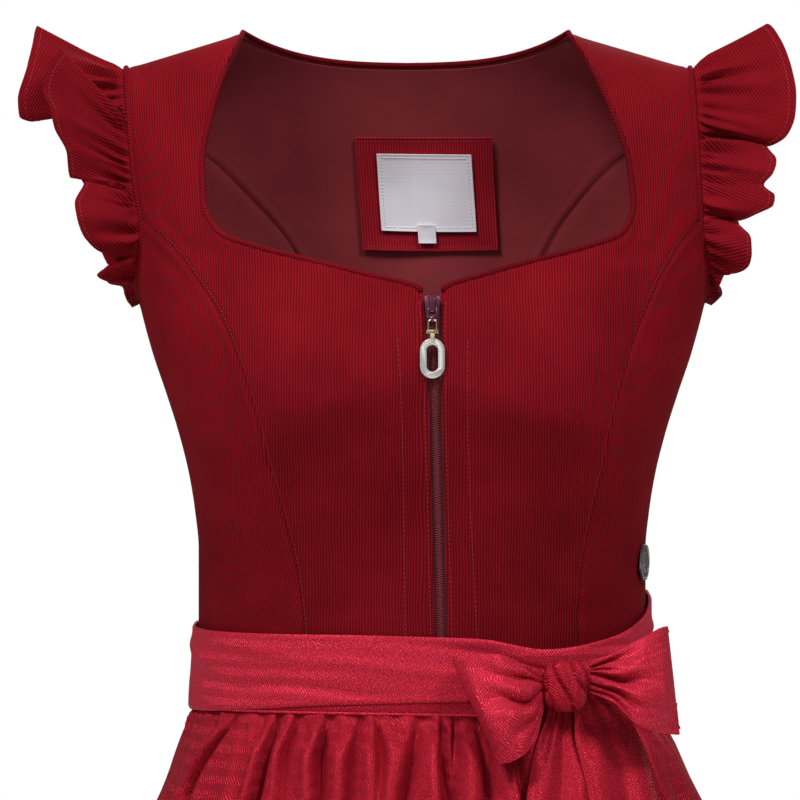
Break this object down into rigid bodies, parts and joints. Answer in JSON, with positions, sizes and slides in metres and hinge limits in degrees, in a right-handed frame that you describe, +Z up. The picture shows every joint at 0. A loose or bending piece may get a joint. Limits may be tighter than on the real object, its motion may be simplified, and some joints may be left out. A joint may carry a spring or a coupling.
{
  "type": "dirndl dress with apron",
  "caption": "Worn folk dress with fitted zip-front bodice, flutter ruffles at the armholes, gathered skirt, and satin apron tied in a bow.",
  "frame": {"origin": "midway between the neck-side ends of the two shoulder seams, where the wearer's shoulders carry the dress", "axes": "+X to the wearer's left, front facing -Y, +Z up"},
  "size_m": [0.6153, 0.5467, 0.9762],
  "materials": {
    "corduroy": "dark red fine-wale cotton corduroy",
    "lining": "plain burgundy woven lining",
    "satin": "raspberry satin jacquard with a small zigzag weave",
    "zip_tape": "woven tape with a dark red coil",
    "zip_slider": "purple-red lacquered zinc",
    "ring_metal": "polished pale metal",
    "badge_metal": "pale stamped metal",
    "label": "white woven label"
  },
  "bodies": {
    "root": {"bodice_front_right": "corduroy", "bodice_front_left": "corduroy", "bodice_side_front_right": "corduroy", "bodice_side_front_left": "corduroy", "bodice_back_centre": "corduroy", "bodice_side_back_left": "corduroy", "bodice_side_back_right": "corduroy", "skirt_front_left": "corduroy", "skirt_front_right": "corduroy", "skirt_side_left": "corduroy", "skirt_side_right": "corduroy", "skirt_back_left": "corduroy", "skirt_back_right": "corduroy", "apron_panel": "satin", "tie_front": "satin", "tie_back": "satin", "tie_left": "satin", "ruffle_left": "corduroy", "ruffle_right": "corduroy", "bow_loop_left": "satin", "bow_loop_right": "satin", "bow_tail_left": "satin", "bow_tail_right": "satin", "bow_knot": "satin", "badge": "badge_metal", "zip_slider": "zip_slider", "lining_back_centre": "lining", "lining_side_back_left": "lining", "lining_side_back_right": "lining", "neck_piping": "corduroy", "armhole_piping_left": "corduroy", "armhole_piping_right": "corduroy", "zip_tape": "zip_tape", "neck_patch": "corduroy", "neck_label": "label", "size_tag": "label", "apron_waistband": "satin"},
    "stub": {"zip_stub": "zip_slider"},
    "ring": {"zip_ring": "ring_metal"}
  },
  "joints": [
    {"name": "stub_hinge", "type": "hinge", "parent": "root", "child": "stub", "pos_m": [0.00478, -0.11618, -0.15654], "axis": [-1, 0, 0], "range_deg": [0, 110]},
    {"name": "ring_hinge", "type": "hinge", "parent": "stub", "child": "ring", "pos_m": [0.00478, -0.11775, -0.16233], "axis": [-1, 0, 0], "range_deg": [0, 60]}
  ]
}
